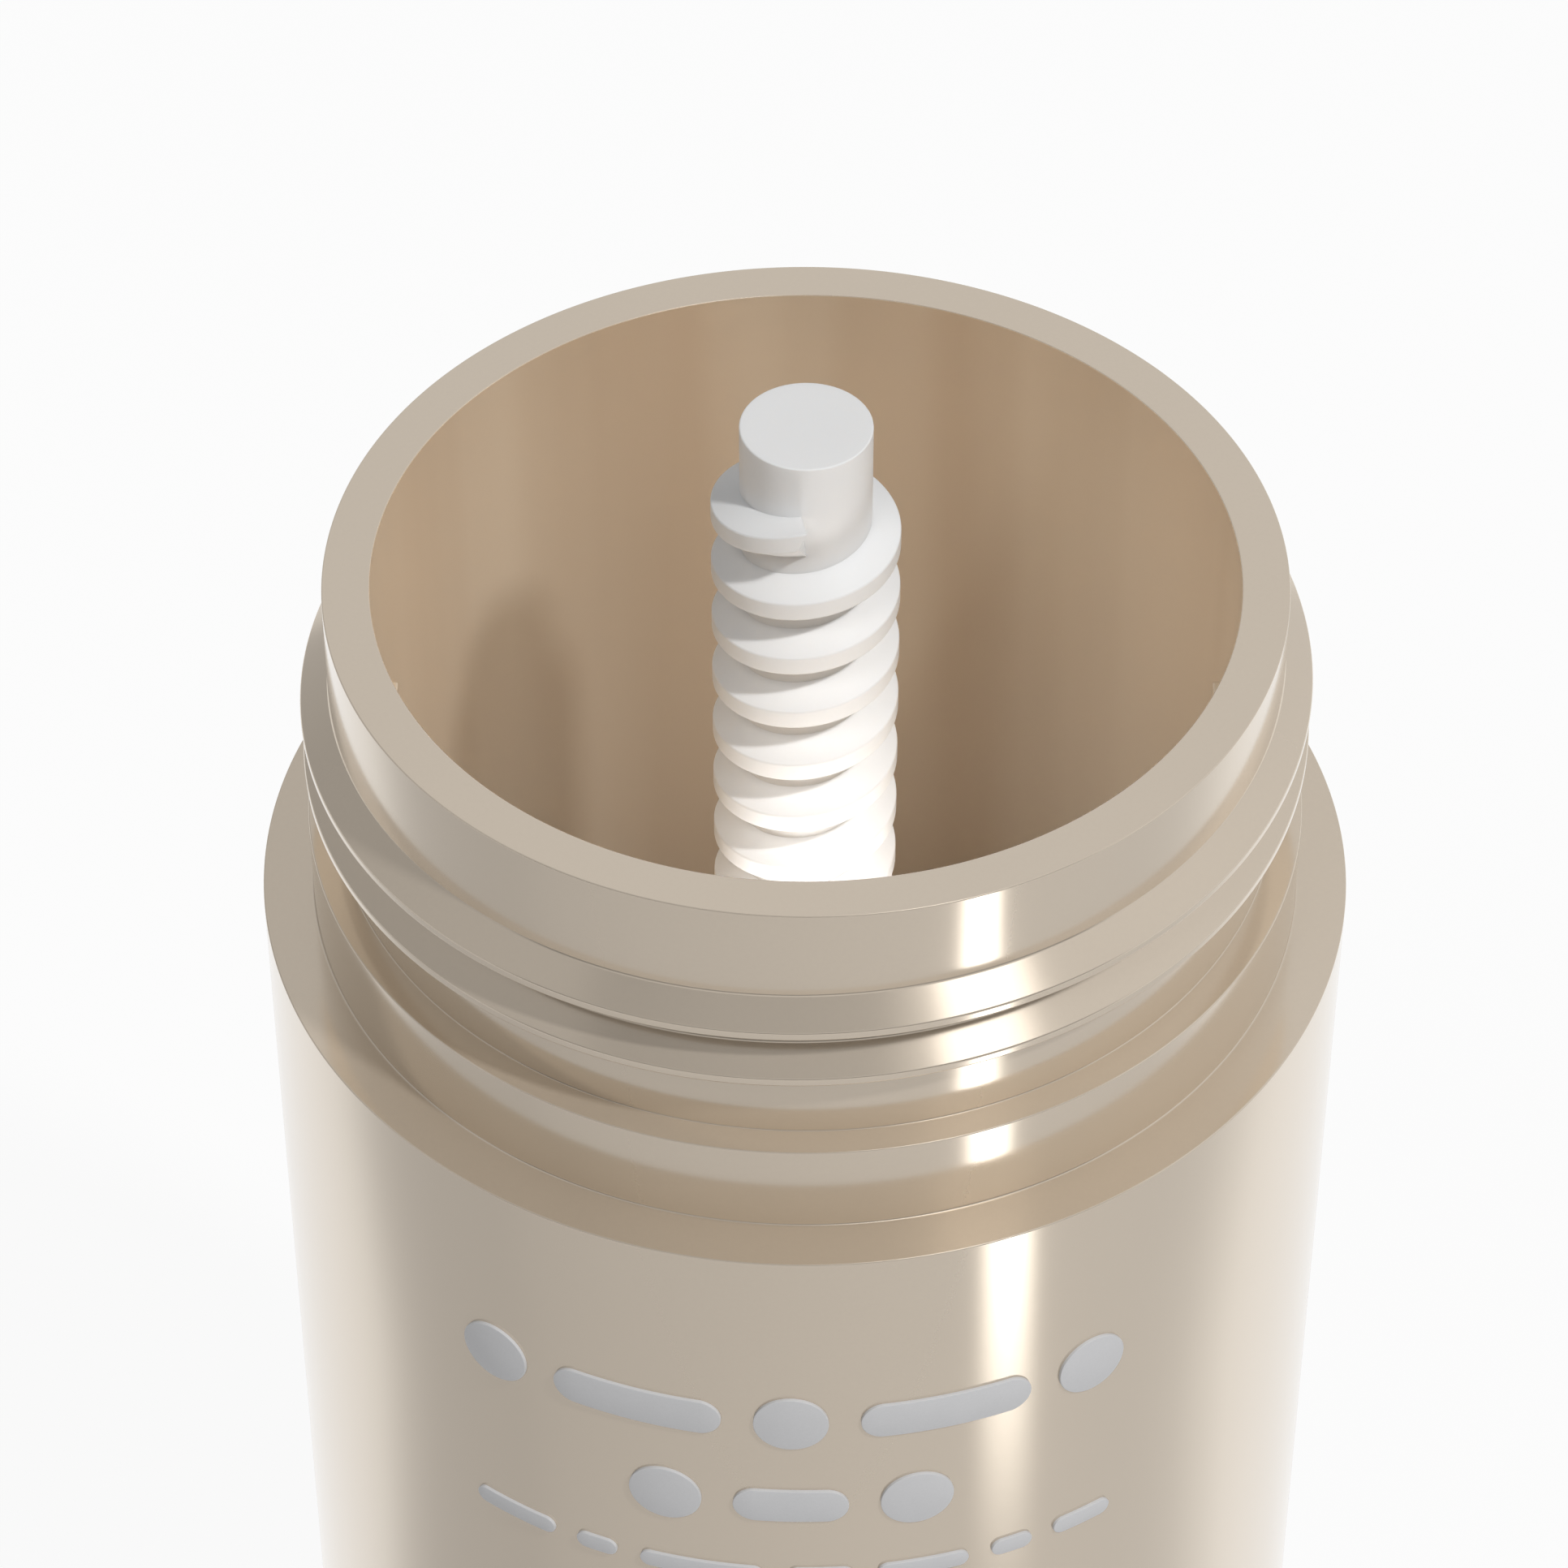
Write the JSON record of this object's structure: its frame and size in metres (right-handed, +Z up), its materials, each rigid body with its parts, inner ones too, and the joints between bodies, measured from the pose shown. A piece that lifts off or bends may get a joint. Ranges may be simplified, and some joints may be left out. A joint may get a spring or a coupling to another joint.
{
  "type": "twist-up deodorant stick",
  "caption": "Round twist-up deodorant stick, open: threaded neck, smooth barrel, central screw with a climbing carrier, and a fluted dial underneath that turns the screw.",
  "frame": {"origin": "centre of the base, on the surface that the pack stands on", "axes": "+Z up along the pack's axis, out of the open neck; the marked front faces -Y"},
  "size_m": [0.04, 0.0401, 0.1028],
  "materials": {
    "metallised_plastic": "vacuum-metallised champagne gloss",
    "white_plastic": "white satin moulding",
    "pale_print": "raised pale grey print"
  },
  "bodies": {
    "barrel": {"inner_barrel": "metallised_plastic", "outer_sleeve": "metallised_plastic", "upper_marks": "pale_print", "lower_marks": "pale_print", "small_marks": "pale_print"},
    "dial": {"dial": "metallised_plastic", "base_cover": "white_plastic", "spindle": "white_plastic"},
    "elevator": {"elevator": "white_plastic"}
  },
  "joints": [
    {"name": "dial_turn", "type": "hinge", "parent": "barrel", "child": "dial", "pos_m": [0, 0, 0], "axis": [0, 0, -1], "range_deg": [0, 9720]},
    {"name": "elevator_climb", "type": "slide", "parent": "barrel", "child": "elevator", "axis": [0, 0, 1], "range_m": [0, 0.0697]}
  ],
  "couplings": [
    {"joint": "elevator_climb", "follows": "dial_turn", "m_per_rad": 0.00041062}
  ]
}
